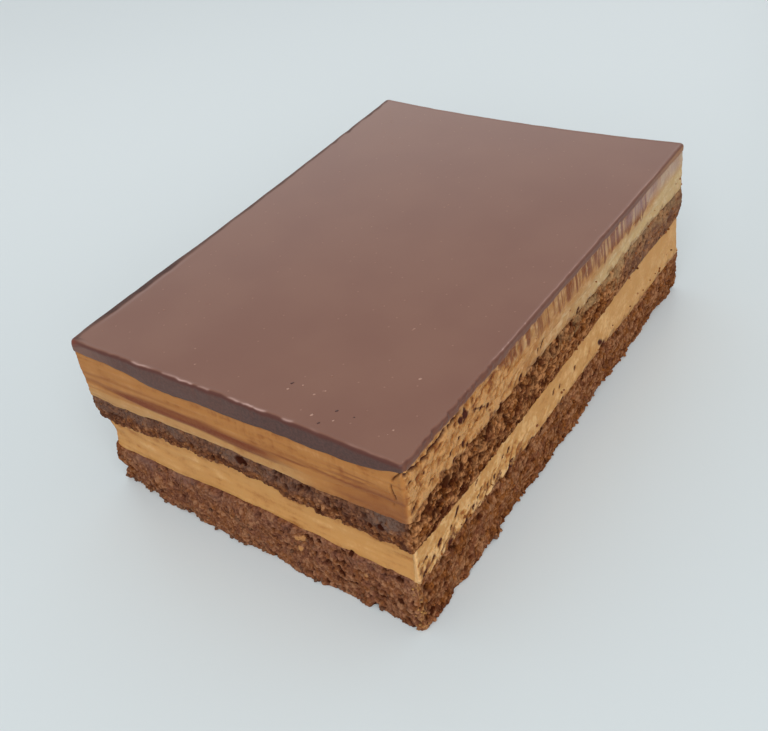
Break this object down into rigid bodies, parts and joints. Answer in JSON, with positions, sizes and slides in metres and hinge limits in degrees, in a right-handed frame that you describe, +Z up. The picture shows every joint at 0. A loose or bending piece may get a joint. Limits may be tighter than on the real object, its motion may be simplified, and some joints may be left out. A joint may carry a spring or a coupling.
{
  "type": "opera cake",
  "caption": "Rectangular bar of layered sponge and coffee cream with a thin chocolate streak and a smooth dark glaze on top.",
  "frame": {"origin": "on the plate side, under the middle of the bar's outline", "axes": "+X is the right long side, +Y runs along the length to the back, +Z is up"},
  "size_m": [0.0651, 0.0935, 0.0308],
  "materials": {
    "sponge": "coarse open crumb of a coffee-soaked chocolate sponge, matt and slightly damp",
    "coffee_cream": "smooth coffee buttercream, cut and lightly dragged by the knife, satin",
    "chocolate_streak": "soft chocolate cream, smeared at the cut, satin",
    "glaze": "poured dark chocolate glaze, smooth semi-gloss top with tiny bubbles, satin at the cut"
  },
  "bodies": {
    "root": {"base_sponge": "sponge", "lower_cream": "coffee_cream", "middle_sponge": "sponge", "pale_cream": "coffee_cream", "chocolate_streak": "chocolate_streak", "upper_cream": "coffee_cream", "glaze": "glaze"}
  },
  "joints": []
}
